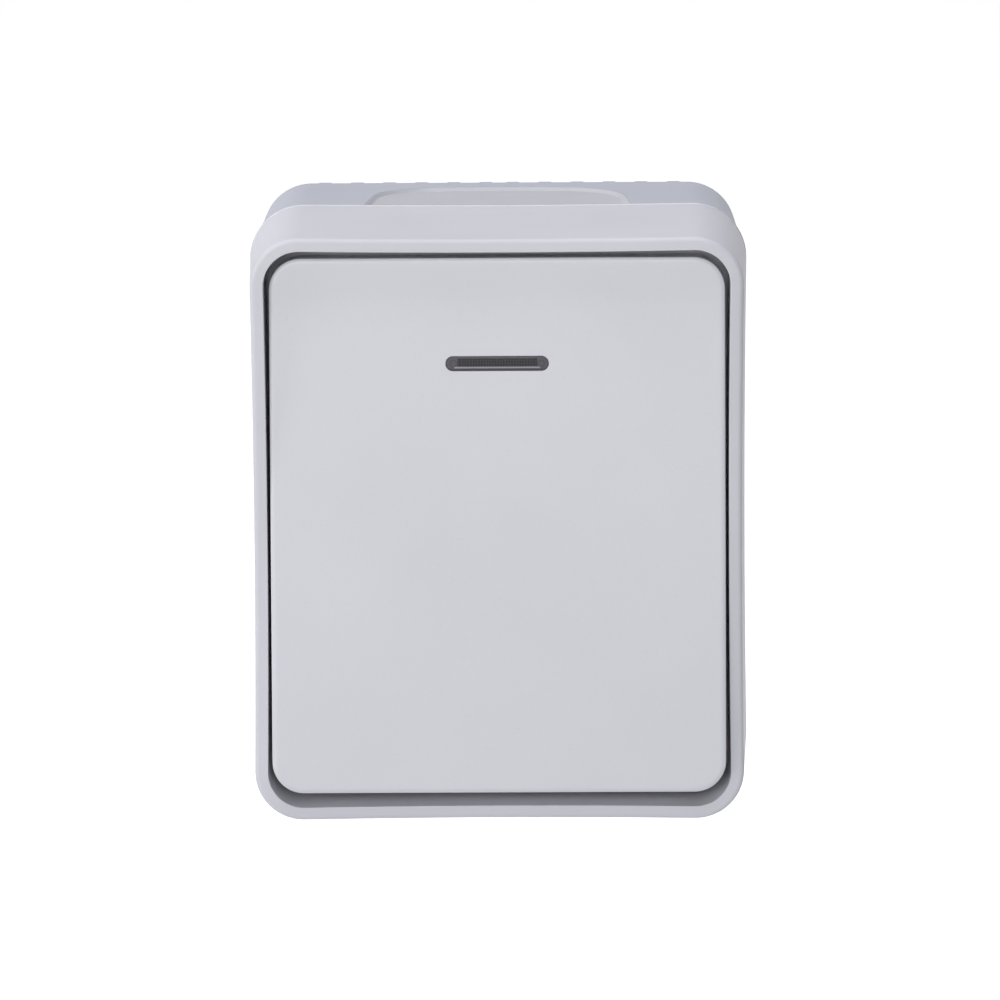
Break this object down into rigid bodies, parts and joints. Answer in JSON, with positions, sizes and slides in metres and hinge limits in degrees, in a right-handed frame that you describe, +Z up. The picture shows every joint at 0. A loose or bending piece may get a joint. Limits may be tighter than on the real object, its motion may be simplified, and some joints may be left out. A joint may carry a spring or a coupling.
{
  "type": "outdoor weatherproof switch",
  "caption": "Surface-mounted weatherproof light switch with one large tilting rocker, a drafted frame, a rear box with cable entries and a slim indicator lens.",
  "frame": {"origin": "centre of the box's rear face, on the wall plane", "axes": "+Y points out of the rear face into the wall, -Y is the front with the rocker, +Z is up"},
  "size_m": [0.072, 0.0576, 0.0862],
  "materials": {
    "box_plastic": "fine moulded grain",
    "frame_plastic": "fine moulded grain",
    "rocker_plastic": "fine moulded grain",
    "inner_plastic": "moulded",
    "cover_plastic": "moulded",
    "soft_entry": "soft moulded",
    "seal_rubber": "moulded",
    "plated_steel": "zinc plated",
    "contact_brass": "stamped",
    "lens_smoke": "smoked, polished",
    "lamp_glass": "clear glass bulb"
  },
  "bodies": {
    "housing": {"rear_box": "box_plastic", "top_cable_entry": "soft_entry", "bottom_cable_entry": "soft_entry", "box_gasket": "seal_rubber", "front_frame": "frame_plastic", "support_strap": "plated_steel", "strap_screws": "plated_steel", "mechanism_body": "inner_plastic", "mechanism_cover": "cover_plastic", "common_contact": "contact_brass", "upper_contact": "contact_brass", "lower_contact": "contact_brass", "neutral_strip": "contact_brass", "terminal_clamps": "plated_steel", "terminal_screws": "plated_steel", "lamp_holder": "inner_plastic", "indicator_lamp": "lamp_glass", "lamp_leads": "plated_steel", "splash_seal": "seal_rubber", "earth_terminal": "contact_brass", "earth_screw": "plated_steel"},
    "rocker": {"rocker": "rocker_plastic", "indicator_lens": "lens_smoke", "rocker_cradle": "inner_plastic", "pivot_pins": "plated_steel", "snap_spring": "plated_steel", "spring_plunger": "inner_plastic"},
    "lever": {"contact_lever": "contact_brass", "contact_tips": "contact_brass"}
  },
  "joints": [
    {"name": "rocker_tilt", "type": "hinge", "parent": "housing", "child": "rocker", "pos_m": [0, -0.0451, 0], "axis": [1, 0, 0], "range_deg": [0, 9.4]},
    {"name": "contact_tilt", "type": "hinge", "parent": "housing", "child": "lever", "pos_m": [0, -0.03, 0], "axis": [1, 0, 0], "range_deg": [-12, 0]}
  ],
  "couplings": [
    {"joint": "contact_tilt", "follows": "rocker_tilt", "ratio": -1.2765}
  ]
}
